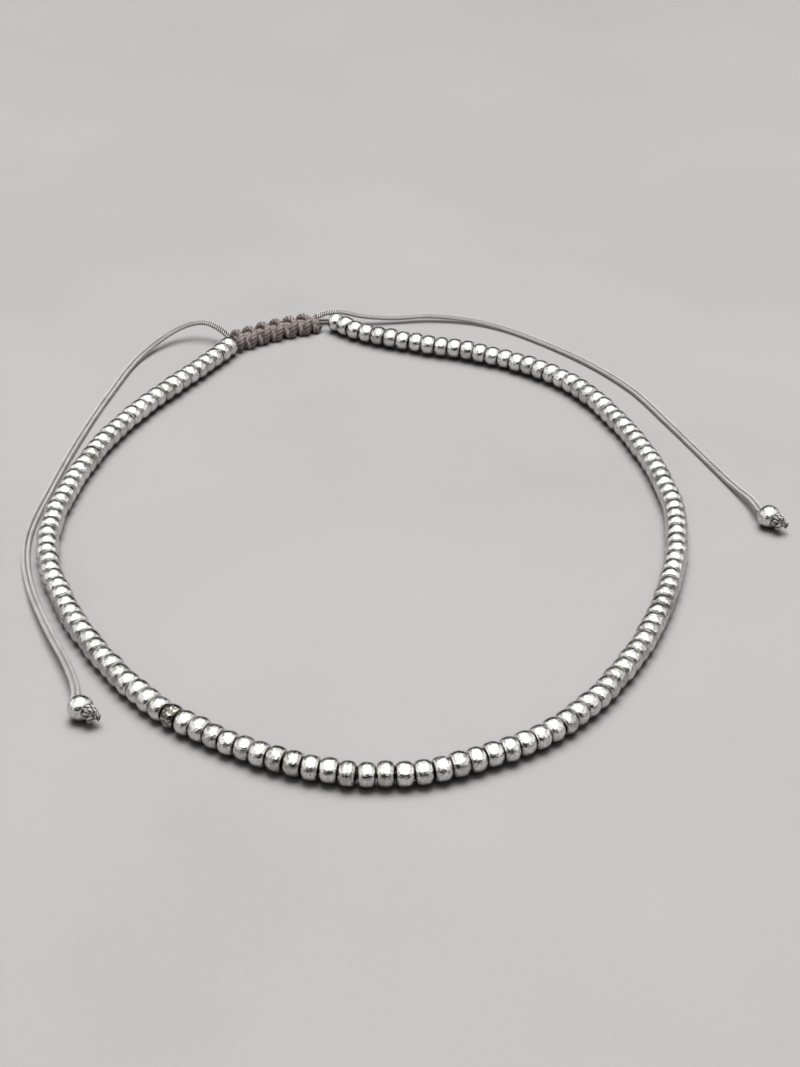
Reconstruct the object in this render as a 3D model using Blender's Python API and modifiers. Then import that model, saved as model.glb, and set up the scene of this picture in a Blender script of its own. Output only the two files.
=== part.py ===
"""Beaded anklet: a loop of glass seed beads closed by a sliding macrame knot, with two beaded cord tails.

Units are metres and +Z is up. The anklet lies on the plane z = 0, and its origin is the middle of the
loop's base. The tails leave the knot's ends and lie on the surface outside the loop.
"""

import math

import bpy
from mathutils import Vector

COLLECTION_NAME = "beaded_anklet"
MM = 0.001

# Beads
BEAD_DIAMETER = 2.6 * MM
BEAD_COUNT = 136
BEAD_GAP = 0.2 * MM
BEAD_SIDES = 10
# (share of half the length, share of the radius)
BEAD_PROFILE = [(-1.0, 0.68), (-0.5, 1.0), (0.5, 1.0), (1.0, 0.68)]

# Cords
STRAND_DIAMETER = 0.52 * MM
PAIR_WIDTH = 2 * STRAND_DIAMETER
THREAD_DIAMETER = 0.9 * MM
TAIL_POINT_SPACING = 2.4 * PAIR_WIDTH

# Sliding knot
KNOT_WIDTH = 3.5 * MM
KNOT_HEIGHT = 2.4 * MM
KNOT_REPEATS = 6
KNOT_NOTCH_SHARE = 0.16
KNOT_END_SHARE = 0.78
KNOT_RINGS_PER_REPEAT = 4
# (share of half the width, share of the height)
KNOT_SECTION = [
    (-0.60, 0.0), (0.60, 0.0), (0.92, 0.18), (1.0, 0.5), (0.88, 0.82),
    (0.5, 1.0), (-0.5, 1.0), (-0.88, 0.82), (-1.0, 0.5), (-0.92, 0.18),
]

# End beads and stop knots
END_BEAD_DIAMETER = 2.65 * MM
END_BEAD_LENGTH = 1.7 * MM
END_BEAD_SIDES = 16
END_BEAD_HOLE = 1.16 * MM
# (share of half the length, share of the radius), down the outer side
END_BEAD_PROFILE = [(1.0, 0.68), (0.72, 0.9), (0.3, 1.0), (-0.3, 1.0), (-0.72, 0.9), (-1.0, 0.68)]
STOP_KNOT_DIAMETER = 1.65 * MM
STOP_KNOT_LENGTH = 1.35 * MM
# (share of the length, share of the radius)
STOP_KNOT_PROFILE = [(0.0, 0.62), (0.25, 0.95), (0.7, 0.95), (1.0, 0.6)]
STUB_LENGTH = 1.0 * MM
STUB_DIAMETER = 0.9 * MM

CLEARANCE = 0.3 * MM

# Bare base cord from each end of the sliding knot to the middle of the nearest bead
BARE_CORD_LEFT = 2.2 * MM
BARE_CORD_RIGHT = 2.75 * MM

# Routes, in millimetres. The loop runs from the knot's left end round the front to its right end.
LOOP_ROUTE_MM = [
    (-18.0, 42.7), (-18.9, 40.6), (-22.8, 33.5), (-26.8, 27.0), (-30.2, 20.2), (-32.9, 13.3),
    (-35.6, 0.0), (-35.7, -7.4), (-34.0, -14.5), (-27.8, -27.6), (-19.1, -38.7), (-6.6, -46.6),
    (0.4, -48.3), (7.3, -47.7), (19.6, -41.1), (28.0, -29.7), (33.4, -16.5), (35.8, -2.7),
    (34.3, 10.9), (29.4, 25.0), (25.6, 31.0), (20.2, 35.8), (14.0, 39.1), (7.1, 41.5),
    (0.6, 44.2), (-2.9, 46.3), (-4.6, 48.0), (-7.3, 48.5),
]
LEFT_TAIL_ROUTE_MM = [
    (-18.8, 43.6, 1.25), (-20.3, 44.7, 2.0), (-22.2, 45.7, 2.4), (-24.3, 45.9, 2.1), (-26.7, 44.7, 1.5),
    (-30.5, 39.6, 0.75), (-33.4, 29.2, 0.6), (-35.7, 17.6, 0.6), (-37.4, 6.0, 0.6), (-38.4, -3.5, 0.6),
    (-37.9, -9.6, 0.7), (-36.2, -16.2, 0.9), (-33.2, -24.0, 1.2), (-29.9, -31.3, 1.3), (-28.6, -35.2, 1.3),
    (-28.4, -37.1, 1.3),
]
RIGHT_TAIL_ROUTE_MM = [
    (-7.5, 49.7, 1.3), (-6.1, 50.5, 1.5), (-4.0, 50.8, 1.5), (-1.2, 50.3, 1.2), (2.8, 50.5, 0.9),
    (8.1, 51.1, 0.9), (13.4, 50.4, 0.75), (18.5, 48.0, 0.6), (28.3, 38.8, 0.6), (34.1, 30.5, 0.6),
    (37.7, 22.1, 0.6), (40.8, 14.2, 0.6), (43.6, 6.8, 0.7), (45.3, 2.0, 1.1), (45.9, -0.9, 1.3),
]
LEFT_END_BEAD_MM = (-27.7, -38.05, 1.35)
LEFT_END_AXIS = (0.72, -0.69, 0.03)
RIGHT_END_BEAD_MM = (46.7, -2.15, 1.35)
RIGHT_END_AXIS = (0.6, -0.8, 0.03)
STUB_SIDEWAYS = (2.2, 0.6, -1.5)

# Colour (linear), roughness, metallic
SILVER_GLASS = ("silver_glass", (0.80, 0.79, 0.77), 0.12, 1.0)
WAXED_CORD = ("waxed_cord", (0.42, 0.38, 0.36), 0.55, 0.0)


class Path:
    """A smooth curve through a route's points, read by distance along it."""

    def __init__(self, route, legs=32):
        self.points = catmull_rom(route, legs)
        self.distances = [0.0]
        for start, end in zip(self.points, self.points[1:]):
            self.distances.append(self.distances[-1] + (end - start).length)

    @property
    def length(self):
        return self.distances[-1]

    def at(self, distance):
        """Returns the point at a distance from the start."""
        for index in range(1, len(self.distances)):
            if distance <= self.distances[index]:
                break
        before, after = self.distances[index - 1], self.distances[index]
        share = (distance - before) / (after - before)
        return self.points[index - 1].lerp(self.points[index], share)


def catmull_rom(route, legs):
    """Returns points on the centripetal Catmull-Rom curve through the route."""
    first = route[0] * 2 - route[1]
    last = route[-1] * 2 - route[-2]
    control = [first, *route, last]
    points = [route[0].copy()]
    for p0, p1, p2, p3 in zip(control, control[1:], control[2:], control[3:]):
        t1 = math.sqrt((p1 - p0).length)
        t2 = t1 + math.sqrt((p2 - p1).length)
        t3 = t2 + math.sqrt((p3 - p2).length)
        for step in range(1, legs + 1):
            t = t1 + (t2 - t1) * step / legs
            a1 = p0.lerp(p1, t / t1)
            a2 = p1.lerp(p2, (t - t1) / (t2 - t1))
            a3 = p2.lerp(p3, (t - t2) / (t3 - t2))
            b1 = a1.lerp(a2, t / t2)
            b2 = a2.lerp(a3, (t - t1) / (t3 - t1))
            points.append(b1.lerp(b2, (t - t1) / (t2 - t1)))
    return points


def in_metres(route_mm, height=0.0):
    """Returns route points in metres, with a height for those that have none."""
    return [Vector((p[0] * MM, p[1] * MM, p[2] * MM if len(p) == 3 else height)) for p in route_mm]


def clear_scene():
    for item in list(bpy.data.objects):
        bpy.data.objects.remove(item)


def make_material(finish):
    name, colour, roughness, metallic = finish
    material = bpy.data.materials.get(name) or bpy.data.materials.new(name)
    material.use_nodes = True
    shader = material.node_tree.nodes["Principled BSDF"]
    shader.inputs["Base Color"].default_value = (*colour, 1.0)
    shader.inputs["Roughness"].default_value = roughness
    shader.inputs["Metallic"].default_value = metallic
    material.diffuse_color = (*colour, 1.0)
    return material


def add_object(name, data, collection, finish):
    item = bpy.data.objects.new(name, data)
    item.data.materials.append(make_material(finish))
    collection.objects.link(item)
    return item


def tube(name, stations, sides, collection, finish):
    """Adds a tube through (point, radius) stations, with a number of sides that is 8, 10 or 12."""
    curve = bpy.data.curves.new(name, "CURVE")
    curve.dimensions = "3D"
    curve.twist_mode = "Z_UP"
    curve.bevel_depth = 1.0
    curve.bevel_resolution = (sides - 4) // 2
    curve.use_fill_caps = True
    spline = curve.splines.new("POLY")
    spline.points.add(len(stations) - 1)
    spline.use_smooth = True
    for control, (point, radius) in zip(spline.points, stations):
        control.co = (*point, 1.0)
        control.radius = radius
    return add_object(name, curve, collection, finish)


def bead_stations(path, middle, length):
    """Returns the rings of one bead, from face to face."""
    radius = BEAD_DIAMETER / 2
    return [(path.at(middle + along * length / 2), radius * across) for along, across in BEAD_PROFILE]


def add_bead_strings(collection):
    """Adds the loop as two half strings that meet at the front, each with its thread up to the knot."""
    facet_height = BEAD_DIAMETER / 2 * math.cos(math.pi / BEAD_SIDES)
    path = Path(in_metres(LOOP_ROUTE_MM, facet_height))
    pitch = (path.length - BARE_CORD_LEFT - BARE_CORD_RIGHT) / (BEAD_COUNT - 1)
    middles = [BARE_CORD_LEFT + pitch * index for index in range(BEAD_COUNT)]
    half = BEAD_COUNT // 2
    thread = THREAD_DIAMETER / 2

    stations = [station for middle in middles for station in bead_stations(path, middle, pitch - BEAD_GAP)]
    split = half * len(BEAD_PROFILE)
    left_stub = [(path.at(CLEARANCE), thread), (stations[0][0], thread)]
    right_stub = [(stations[-1][0], thread), (path.at(path.length - CLEARANCE), thread)]
    left = left_stub + step_apart(stations[:split], left_stub[-1], 0)
    right = step_apart(stations[split:], right_stub[0], -1) + right_stub
    return [
        tube("bead_string_left", left, BEAD_SIDES, collection, SILVER_GLASS),
        tube("bead_string_right", right, BEAD_SIDES, collection, SILVER_GLASS),
    ]


def step_apart(stations, neighbour, end):
    """Moves the end ring a little off the thread's ring at the same place, so the bead's face isn't empty."""
    nudge = 0.02 * MM
    moved = list(stations)
    inner = stations[1 if end == 0 else -2][0]
    point, radius = stations[end]
    moved[end] = (point + (inner - neighbour[0]).normalized() * nudge, radius)
    return moved


def knot_width_share(along):
    """Returns the knot's width at a share of its length, as a share of its full width."""
    notch = (math.cos(2 * math.pi * KNOT_REPEATS * along) + 1) / 2
    end = min(1.0, 2 * KNOT_REPEATS * min(along, 1 - along))
    return (1 - KNOT_NOTCH_SHARE * notch) * (KNOT_END_SHARE + (1 - KNOT_END_SHARE) * end)


def add_sliding_knot(collection):
    """Adds the sinnet of square knots as a loft, flat below, with a bump on each edge for every knot."""
    start, end = in_metres([LOOP_ROUTE_MM[0], LOOP_ROUTE_MM[-1]])
    length = (end - start).length
    rings = KNOT_REPEATS * KNOT_RINGS_PER_REPEAT + 1
    vertices = []
    for ring in range(rings):
        along = ring / (rings - 1)
        share = knot_width_share(along)
        for across, up in KNOT_SECTION:
            vertices.append(((along - 0.5) * length, across * share * KNOT_WIDTH / 2, up * share * KNOT_HEIGHT))
    count = len(KNOT_SECTION)
    faces = [tuple(reversed(range(count))), tuple((rings - 1) * count + index for index in range(count))]
    for ring in range(rings - 1):
        for index in range(count):
            low, high = ring * count + index, ring * count + (index + 1) % count
            faces.append((low, high, high + count, low + count))
    mesh = bpy.data.meshes.new("sliding_knot")
    mesh.from_pydata(vertices, [], faces)
    knot = add_object("sliding_knot", mesh, collection, WAXED_CORD)
    knot.location = (start + end) / 2
    knot.rotation_euler.z = math.atan2(end.y - start.y, end.x - start.x)
    return knot


def add_tail(name, route_mm, collection):
    """Adds a tail's pair of strands as one tube along its route."""
    path = Path(in_metres(route_mm))
    count = round(path.length / TAIL_POINT_SPACING)
    stations = [(path.at(path.length * index / count), PAIR_WIDTH / 2) for index in range(count + 1)]
    return tube(name, stations, 8, collection, WAXED_CORD)


def add_end_bead(name, middle_mm, axis, collection):
    """Adds a turned bead with a through hole, its axis along the tail."""
    half, radius, hole = END_BEAD_LENGTH / 2, END_BEAD_DIAMETER / 2, END_BEAD_HOLE / 2
    outside = [(radius * across, half * along) for along, across in END_BEAD_PROFILE]
    profile = [(hole, half), *outside, (hole, -half)]
    mesh = bpy.data.meshes.new(name)
    edges = [(index, (index + 1) % len(profile)) for index in range(len(profile))]
    mesh.from_pydata([(x, 0.0, z) for x, z in profile], edges, [])
    bead = add_object(name, mesh, collection, SILVER_GLASS)
    screw = bead.modifiers.new("turn", "SCREW")
    screw.steps = END_BEAD_SIDES
    screw.render_steps = END_BEAD_SIDES
    screw.use_merge_vertices = True
    screw.merge_threshold = 0.01 * MM
    screw.use_smooth_shade = True
    bead.location = in_metres([middle_mm])[0]
    bead.rotation_mode = "QUATERNION"
    bead.rotation_quaternion = Vector(axis).to_track_quat("Z", "Y")
    return bead


def add_stop_knot(name, middle_mm, axis, collection):
    """Adds the overhand knot that keeps an end bead on, with its cut stub bent to one side."""
    direction = Vector(axis).normalized()
    start = in_metres([middle_mm])[0] + direction * (END_BEAD_LENGTH / 2 + CLEARANCE)
    radius = STOP_KNOT_DIAMETER / 2
    stations = [
        (start + direction * STOP_KNOT_LENGTH * along, radius * across) for along, across in STOP_KNOT_PROFILE
    ]
    stub_start = stations[-1][0]
    stub = (direction + Vector(STUB_SIDEWAYS)).normalized() * STUB_LENGTH
    stations.append((stub_start + stub / 2, STUB_DIAMETER / 2))
    stations.append((stub_start + stub, STUB_DIAMETER / 2))
    return tube(name, stations, 10, collection, WAXED_CORD)


def box_corners(items):
    """Returns the low and high corners of the box round the objects, as evaluated."""
    graph = bpy.context.evaluated_depsgraph_get()
    points = []
    for item in items:
        shape = item.evaluated_get(graph)
        mesh = shape.to_mesh()
        points += [shape.matrix_world @ vertex.co for vertex in mesh.vertices]
        shape.to_mesh_clear()
    low = Vector([min(point[axis] for point in points) for axis in range(3)])
    high = Vector([max(point[axis] for point in points) for axis in range(3)])
    return low, high


def centre_on_base(base, everything):
    """Shifts the anklet so that the middle of its base, tails left out, is the origin."""
    low, high = box_corners(base)
    shift = Vector(((low.x + high.x) / 2, (low.y + high.y) / 2, low.z))
    for item in everything:
        item.location -= shift


def main():
    clear_scene()
    collection = bpy.data.collections.new(COLLECTION_NAME)
    bpy.context.scene.collection.children.link(collection)
    base = add_bead_strings(collection)
    base.append(add_sliding_knot(collection))
    ends = [
        add_tail("tail_cord_left", LEFT_TAIL_ROUTE_MM, collection),
        add_tail("tail_cord_right", RIGHT_TAIL_ROUTE_MM, collection),
        add_end_bead("end_bead_left", LEFT_END_BEAD_MM, LEFT_END_AXIS, collection),
        add_end_bead("end_bead_right", RIGHT_END_BEAD_MM, RIGHT_END_AXIS, collection),
        add_stop_knot("stop_knot_left", LEFT_END_BEAD_MM, LEFT_END_AXIS, collection),
        add_stop_knot("stop_knot_right", RIGHT_END_BEAD_MM, RIGHT_END_AXIS, collection),
    ]
    centre_on_base(base, base + ends)


main()
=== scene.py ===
"""Dresses the beaded anklet: silver glass beads, the sliding knot, two corded tails and their end beads.

Units are metres and +Z is up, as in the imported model. Routes and places are listed in millimetres.
"""

import logging
import math
import random
from bisect import bisect_left
from abc import ABC, abstractmethod
from dataclasses import dataclass
from enum import Enum
from typing import Any, Callable, Iterable, Sequence

import bpy
from bpy.types import ColorRamp, Light, Material, Mesh, Node, NodeSocket, NodeTree, Object
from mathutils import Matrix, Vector


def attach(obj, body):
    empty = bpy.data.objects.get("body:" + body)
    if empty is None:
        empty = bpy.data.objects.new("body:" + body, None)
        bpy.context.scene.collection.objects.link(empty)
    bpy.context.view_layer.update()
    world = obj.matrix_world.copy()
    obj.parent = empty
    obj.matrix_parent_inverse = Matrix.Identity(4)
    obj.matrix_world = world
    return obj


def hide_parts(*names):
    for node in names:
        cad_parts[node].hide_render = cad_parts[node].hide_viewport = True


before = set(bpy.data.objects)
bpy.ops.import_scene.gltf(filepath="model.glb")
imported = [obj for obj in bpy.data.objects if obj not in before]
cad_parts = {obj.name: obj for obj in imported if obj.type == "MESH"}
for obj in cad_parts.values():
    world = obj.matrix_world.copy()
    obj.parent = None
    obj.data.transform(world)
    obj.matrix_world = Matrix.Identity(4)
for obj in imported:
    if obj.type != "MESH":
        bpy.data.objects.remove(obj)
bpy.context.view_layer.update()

LOG = logging.getLogger("anklet")
MM = 0.001
ROOT = "root"
UP = Vector((0.0, 0.0, 1.0))

Place = tuple[float, float, float]
Colour = tuple[float, float, float, float]

NUMBER = "NodeSocketFloat"
WHOLE = "NodeSocketInt"
MATERIAL = "NodeSocketMaterial"

# The model's own shift from the routes' numbers to the middle of its base, in millimetres
ROUTE_SHIFT_MM = (0.025, 0.067, 0.0)
LOOP_ROUTE_MM = [
    (-18.0, 42.7), (-18.9, 40.6), (-22.8, 33.5), (-26.8, 27.0), (-30.2, 20.2), (-32.9, 13.3),
    (-35.6, 0.0), (-35.7, -7.4), (-34.0, -14.5), (-27.8, -27.6), (-19.1, -38.7), (-6.6, -46.6),
    (0.4, -48.3), (7.3, -47.7), (19.6, -41.1), (28.0, -29.7), (33.4, -16.5), (35.8, -2.7),
    (34.3, 10.9), (29.4, 25.0), (25.6, 31.0), (20.2, 35.8), (14.0, 39.1), (7.1, 41.5),
    (0.6, 44.2), (-2.9, 46.3), (-4.6, 48.0), (-7.3, 48.5),
]
LEFT_TAIL_ROUTE_MM = [
    (-18.8, 43.6, 1.25), (-20.3, 44.7, 2.0), (-22.2, 45.7, 2.4), (-24.3, 45.9, 2.1), (-26.7, 44.7, 1.5),
    (-30.5, 39.6, 0.75), (-33.4, 29.2, 0.6), (-35.7, 17.6, 0.6), (-37.4, 6.0, 0.6), (-38.4, -3.5, 0.6),
    (-37.9, -9.6, 0.7), (-36.2, -16.2, 0.9), (-33.2, -24.0, 1.2), (-29.9, -31.3, 1.3), (-28.6, -35.2, 1.3),
    (-28.4, -37.1, 1.3),
]
RIGHT_TAIL_ROUTE_MM = [
    (-7.5, 49.7, 1.3), (-6.1, 50.5, 1.5), (-4.0, 50.8, 1.5), (-1.2, 50.3, 1.2), (2.8, 50.5, 0.9),
    (8.1, 51.1, 0.9), (13.4, 50.4, 0.75), (18.5, 48.0, 0.6), (28.3, 38.8, 0.6), (34.1, 30.5, 0.6),
    (37.7, 22.1, 0.6), (40.8, 14.2, 0.6), (43.6, 6.8, 0.7), (45.3, 2.0, 1.1), (45.9, -0.9, 1.3),
]


class Slot(Enum):
    """Names of material slots."""

    SILVER_GLASS = "silver_glass"
    WAXED_CORD = "waxed_cord"


class Hand(Enum):
    """The way a cord is twisted."""

    LEFT = -1.0
    RIGHT = 1.0


# Nodes


def arithmetic(operation: str, reflected: bool = False) -> Callable[["Signal", Any], "Signal"]:
    """Returns a method that joins a signal and another value in a Math node.

    Args:
        operation: The node's operation.
        reflected: Whether the other value comes first.

    Returns:
        The method.
    """

    def method(self: "Signal", other: Any) -> "Signal":
        """Returns the operation's result."""
        values = (other, self) if reflected else (self, other)
        return self.graph.calculate(operation, *values)

    return method


class Signal:
    """A node's output socket, which arithmetic joins with Math nodes."""

    def __init__(self, graph: "NodeGraph", socket: NodeSocket) -> None:
        """Wraps one output socket of a graph."""
        self.graph = graph
        self.socket = socket

    __add__ = arithmetic("ADD")
    __radd__ = arithmetic("ADD", reflected=True)
    __sub__ = arithmetic("SUBTRACT")
    __rsub__ = arithmetic("SUBTRACT", reflected=True)
    __mul__ = arithmetic("MULTIPLY")
    __rmul__ = arithmetic("MULTIPLY", reflected=True)
    __truediv__ = arithmetic("DIVIDE")
    __rtruediv__ = arithmetic("DIVIDE", reflected=True)
    __pow__ = arithmetic("POWER")


class Placed:
    """A node in a graph, whose outputs are read by name or number."""

    def __init__(self, graph: "NodeGraph", node: Node) -> None:
        """Wraps one node of a graph."""
        self.graph = graph
        self.node = node

    def __getitem__(self, key: str | int) -> Signal:
        """Returns an output of the node."""
        return Signal(self.graph, find_socket(self.node.outputs, key))


def find_socket(sockets: Sequence[NodeSocket], key: str | int) -> NodeSocket:
    """Finds a socket of a node.

    Args:
        sockets: The node's inputs or outputs.
        key: The socket's number, or its name, which is then looked up among the sockets in use.

    Returns:
        The socket.
    """
    if isinstance(key, int):
        return sockets[key]
    return next(socket for socket in sockets if socket.name == key and socket.enabled)


class NodeGraph:
    """Adds nodes and links to a shader or geometry tree."""

    def __init__(self, tree: NodeTree) -> None:
        """Starts on a tree."""
        self.tree = tree

    def node(
        self, kind: str, settings: dict[str, Any] | None = None, inputs: dict[Any, Any] | None = None
    ) -> Placed:
        """Adds a node.

        Args:
            kind: The node's type.
            settings: Its properties, set first. The entry "stops" holds a ramp's (place, colour) pairs.
            inputs: Values or links of its sockets, by name or number.

        Returns:
            The node as placed.
        """
        node = self.tree.nodes.new(kind)
        for name, value in (settings or {}).items():
            if name == "stops":
                self._set_stops(node.color_ramp, value)
            else:
                setattr(node, name, value)
        for key, value in (inputs or {}).items():
            socket = find_socket(node.inputs, key)
            if isinstance(value, Signal):
                self.tree.links.new(value.socket, socket)
            else:
                socket.default_value = value
        return Placed(self, node)

    def calculate(self, operation: str, *values: Any) -> Signal:
        """Returns the result of a Math node."""
        return self.node("ShaderNodeMath", {"operation": operation}, dict(enumerate(values)))[0]

    def vector(self, x: Any, y: Any, z: Any) -> Signal:
        """Returns a vector of three numbers."""
        return self.node("ShaderNodeCombineXYZ", {}, {0: x, 1: y, 2: z})[0]

    def scaled(self, vector: Signal, scale: Any) -> Signal:
        """Returns a vector times a number."""
        inputs = {"Vector": vector, "Scale": scale}
        return self.node("ShaderNodeVectorMath", {"operation": "SCALE"}, inputs)[0]

    @staticmethod
    def _set_stops(ramp: ColorRamp, stops: Sequence[tuple[float, tuple[float, ...]]]) -> None:
        """Gives a colour ramp its stops."""
        while len(ramp.elements) < len(stops):
            ramp.elements.new(1.0)
        for element, (place, colour) in zip(ramp.elements, stops):
            element.position = place
            element.color = colour


class ShaderGraph(NodeGraph):
    """A material's or a world's nodes, with the few patterns that the finishes share."""

    def __init__(self, tree: NodeTree, shader: str = "Principled BSDF") -> None:
        """Starts on a tree that has its shader already."""
        super().__init__(tree)
        self.shader = tree.nodes[shader]

    def drive(self, name: str, value: Signal) -> None:
        """Links a varying value to one of the shader's sockets."""
        self.tree.links.new(value.socket, self.shader.inputs[name])

    def fix(self, name: str, value: Any) -> None:
        """Sets one of the shader's sockets to a constant."""
        self.shader.inputs[name].default_value = value

    def millimetres(self) -> Signal:
        """Returns the object's coordinates in millimetres."""
        return self.scaled(self.node("ShaderNodeTexCoord")["Object"], 1 / MM)

    def noise(self, place: Signal, scale: float, detail: float = 2.0, roughness: float = 0.5) -> Signal:
        """Returns a noise between 0 and 1 at a scale per millimetre."""
        inputs = {"Vector": place, "Scale": scale, "Detail": detail, "Roughness": roughness}
        return self.node("ShaderNodeTexNoise", {}, inputs)[0]

    def attribute(self, name: str) -> Signal:
        """Returns a piece's own attribute."""
        settings = {"attribute_type": "GEOMETRY", "attribute_name": name}
        return self.node("ShaderNodeAttribute", settings)[2]

    def stretch(
        self, value: Signal, low: float, high: float, to_low: float = 0.0, to_high: float = 1.0
    ) -> Signal:
        """Returns a value mapped from one range to another, held at its ends."""
        inputs = {"Value": value, "From Min": low, "From Max": high, "To Min": to_low, "To Max": to_high}
        return self.node("ShaderNodeMapRange", {"clamp": True}, inputs)[0]

    def blend(self, share: Signal, first: Any, second: Any, mode: str = "MIX") -> Signal:
        """Returns the blend of two colours."""
        settings = {"data_type": "RGBA", "blend_type": mode}
        return self.node("ShaderNodeMix", settings, {"Factor": share, "A": first, "B": second})["Result"]

    def bump(self, height: Signal, strength: float, depth: float) -> Signal:
        """Returns a normal raised by a height, whose full depth is in metres."""
        inputs = {"Height": height, "Strength": strength, "Distance": depth}
        return self.node("ShaderNodeBump", {}, inputs)[0]


# Finishes


@dataclass(frozen=True)
class Finish(ABC):
    """A procedural material."""

    name: str

    def material(self) -> Material:
        """Returns the material, which is built once."""
        found = bpy.data.materials.get(self.name)
        if found:
            return found
        material = bpy.data.materials.new(self.name)
        material.use_nodes = True
        self.dress(ShaderGraph(material.node_tree))
        return material

    @abstractmethod
    def dress(self, graph: ShaderGraph) -> None:
        """Sets the shader's constants and links what varies."""


@dataclass(frozen=True)
class MirrorGlass(Finish):
    """Glass beads with a metallic silver coat, uneven and slightly grainy."""

    bright: Colour = (0.74, 0.73, 0.715, 1.0)
    dull: Colour = (0.72, 0.70, 0.64, 1.0)
    worn: Colour = (0.46, 0.45, 0.44, 1.0)
    # Painted shade, multiplied onto each bead's ends where the gap to the next bead lies in shade
    painted_shade: Colour = (0.22, 0.21, 0.20, 1.0)
    olive: Colour = (0.11, 0.107, 0.08, 1.0)
    roughness: float = 0.07
    roughness_spread: float = 0.15
    crumple_depth: float = 0.085 * MM

    def dress(self, graph: ShaderGraph) -> None:
        """Colours each bead by its tone, with olive on the dull ones, painted shade at its ends between the
        beads, pits, grain and lines.
        """
        place = graph.millimetres()
        tone = graph.attribute("tone")
        across = graph.attribute("across")
        pits = graph.noise(place, 5.5, 4.0, 0.72)
        grain = graph.noise(place, 8.0, 3.0, 0.65)
        crumple = graph.noise(place, 2.8, 3.0, 0.6)
        lines = graph.noise(graph.vector(across * 4.5, tone * 90, 0.0), 1.0, 2.0, 0.6)
        dull = graph.blend(graph.stretch(crumple, 0.54, 0.59), self.olive, self.dull)
        silver = graph.blend(tone, dull, self.bright)
        pitted = graph.blend(graph.stretch(pits, 0.46, 0.66), silver, self.worn, "MULTIPLY")
        lined = graph.blend(graph.stretch(lines, 0.5, 0.7, 0.0, 0.5), pitted, self.worn, "MULTIPLY")
        # Painted shade: each bead darkens towards its ends, standing in for the shade in the gaps between
        # beads
        ends = graph.stretch(across * across, 0.90, 1.0)
        graph.drive("Base Color", graph.blend(ends, lined, self.painted_shade, "MULTIPLY"))
        rough = graph.stretch(grain, 0.35, 0.75, self.roughness, self.roughness + self.roughness_spread)
        graph.drive("Roughness", rough)
        relief = crumple + grain * 0.13 + lines * 0.2
        graph.drive("Normal", graph.bump(relief, 0.8, self.crumple_depth))
        graph.fix("Metallic", 1.0)


@dataclass(frozen=True)
class WaxedCord(Finish):
    """Twisted polyester cord with a thin wax; a low tone gives both the scorched colour of cut ends and the
    painted shade of cord hidden inside the beads and the knot.
    """

    light: Colour = (0.84, 0.82, 0.805, 1.0)
    shade: Colour = (0.54, 0.52, 0.51, 1.0)
    # Painted shade, multiplied into the ply grooves
    painted_shade: Colour = (0.05, 0.045, 0.04, 1.0)
    # Scorched colour of cut ends, also used as painted shade on cord hidden inside the beads and the knot
    singed_and_painted_shade: Colour = (0.05, 0.035, 0.03, 1.0)
    roughness: float = 0.38
    fibre_depth: float = 0.03 * MM

    def dress(self, graph: ShaderGraph) -> None:
        """Colours the fibres unevenly with painted shade in the ply grooves, darkens them where the tone is
        low, and raises them a little.
        """
        place = graph.millimetres()
        tone = graph.attribute("tone")
        fibres = graph.noise(place, 9.0, 4.0, 0.7)
        patches = graph.noise(place, 0.6, 2.0, 0.5)
        shared = graph.stretch(fibres * 0.6 + patches * 0.4, 0.35, 0.65)
        # Painted shade: the ply grooves are darkened, standing in for the shade between the plies
        groove = graph.stretch(graph.attribute("groove"), 0.35, 0.8)
        thread = graph.blend(groove, graph.blend(shared, self.shade, self.light), self.painted_shade, "MULTIPLY")
        # A low tone gives the scorched colour at cut ends and painted shade on cord hidden inside the beads
        # and the knot
        graph.drive("Base Color", graph.blend(tone, self.singed_and_painted_shade, thread))
        rough = graph.stretch(fibres, 0.3, 0.7, self.roughness, self.roughness + 0.25)
        graph.drive("Roughness", rough)
        graph.drive("Normal", graph.bump(fibres, 0.7, self.fibre_depth))
        graph.fix("Sheen Weight", 0.15)
        graph.fix("Sheen Roughness", 0.4)


@dataclass(frozen=True)
class Tabletop(Finish):
    """A plain pale matt surface with a faint grain."""

    light: Colour = (0.435, 0.427, 0.425, 1.0)
    shade: Colour = (0.405, 0.397, 0.395, 1.0)

    def dress(self, graph: ShaderGraph) -> None:
        """Mottles the surface slightly."""
        place = graph.millimetres()
        mottle = graph.noise(place, 0.02, 3.0, 0.5)
        grain = graph.noise(place, 3.0, 3.0, 0.6)
        share = graph.stretch(mottle * 0.7 + grain * 0.3, 0.35, 0.65)
        graph.drive("Base Color", graph.blend(share, self.shade, self.light))
        graph.drive("Roughness", graph.stretch(grain, 0.3, 0.7, 0.5, 0.65))
        graph.drive("Normal", graph.bump(grain, 0.25, 0.02 * MM))
        graph.fix("Specular IOR Level", 0.15)


@dataclass(frozen=True)
class Panel(Finish):
    """A plain matt card or a card that gives light."""

    colour: Colour = (0.02, 0.02, 0.02, 1.0)
    glow: float = 0.0

    def dress(self, graph: ShaderGraph) -> None:
        """Sets the card's colour and glow."""
        graph.fix("Base Color", self.colour)
        graph.fix("Roughness", 0.9)
        graph.fix("Emission Color", self.colour)
        graph.fix("Emission Strength", self.glow)


SILVER = MirrorGlass("silver_glass_finish")
TAIL_CORD = WaxedCord("tail_cord_finish")
KNOT_CORD = WaxedCord(
    "knot_cord_finish", light=(0.46, 0.385, 0.37, 1.0), shade=(0.15, 0.118, 0.112, 1.0),
    painted_shade=(0.36, 0.33, 0.32, 1.0), roughness=0.42,
)


# Routes


def in_metres(points_mm: Iterable[Sequence[float]], height_mm: float = 0.0) -> list[Vector]:
    """Returns listed points in the model's frame, with a height for those that have none."""
    shift = Vector(ROUTE_SHIFT_MM)
    return [(Vector((p[0], p[1], p[2] if len(p) == 3 else height_mm)) + shift) * MM for p in points_mm]


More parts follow.
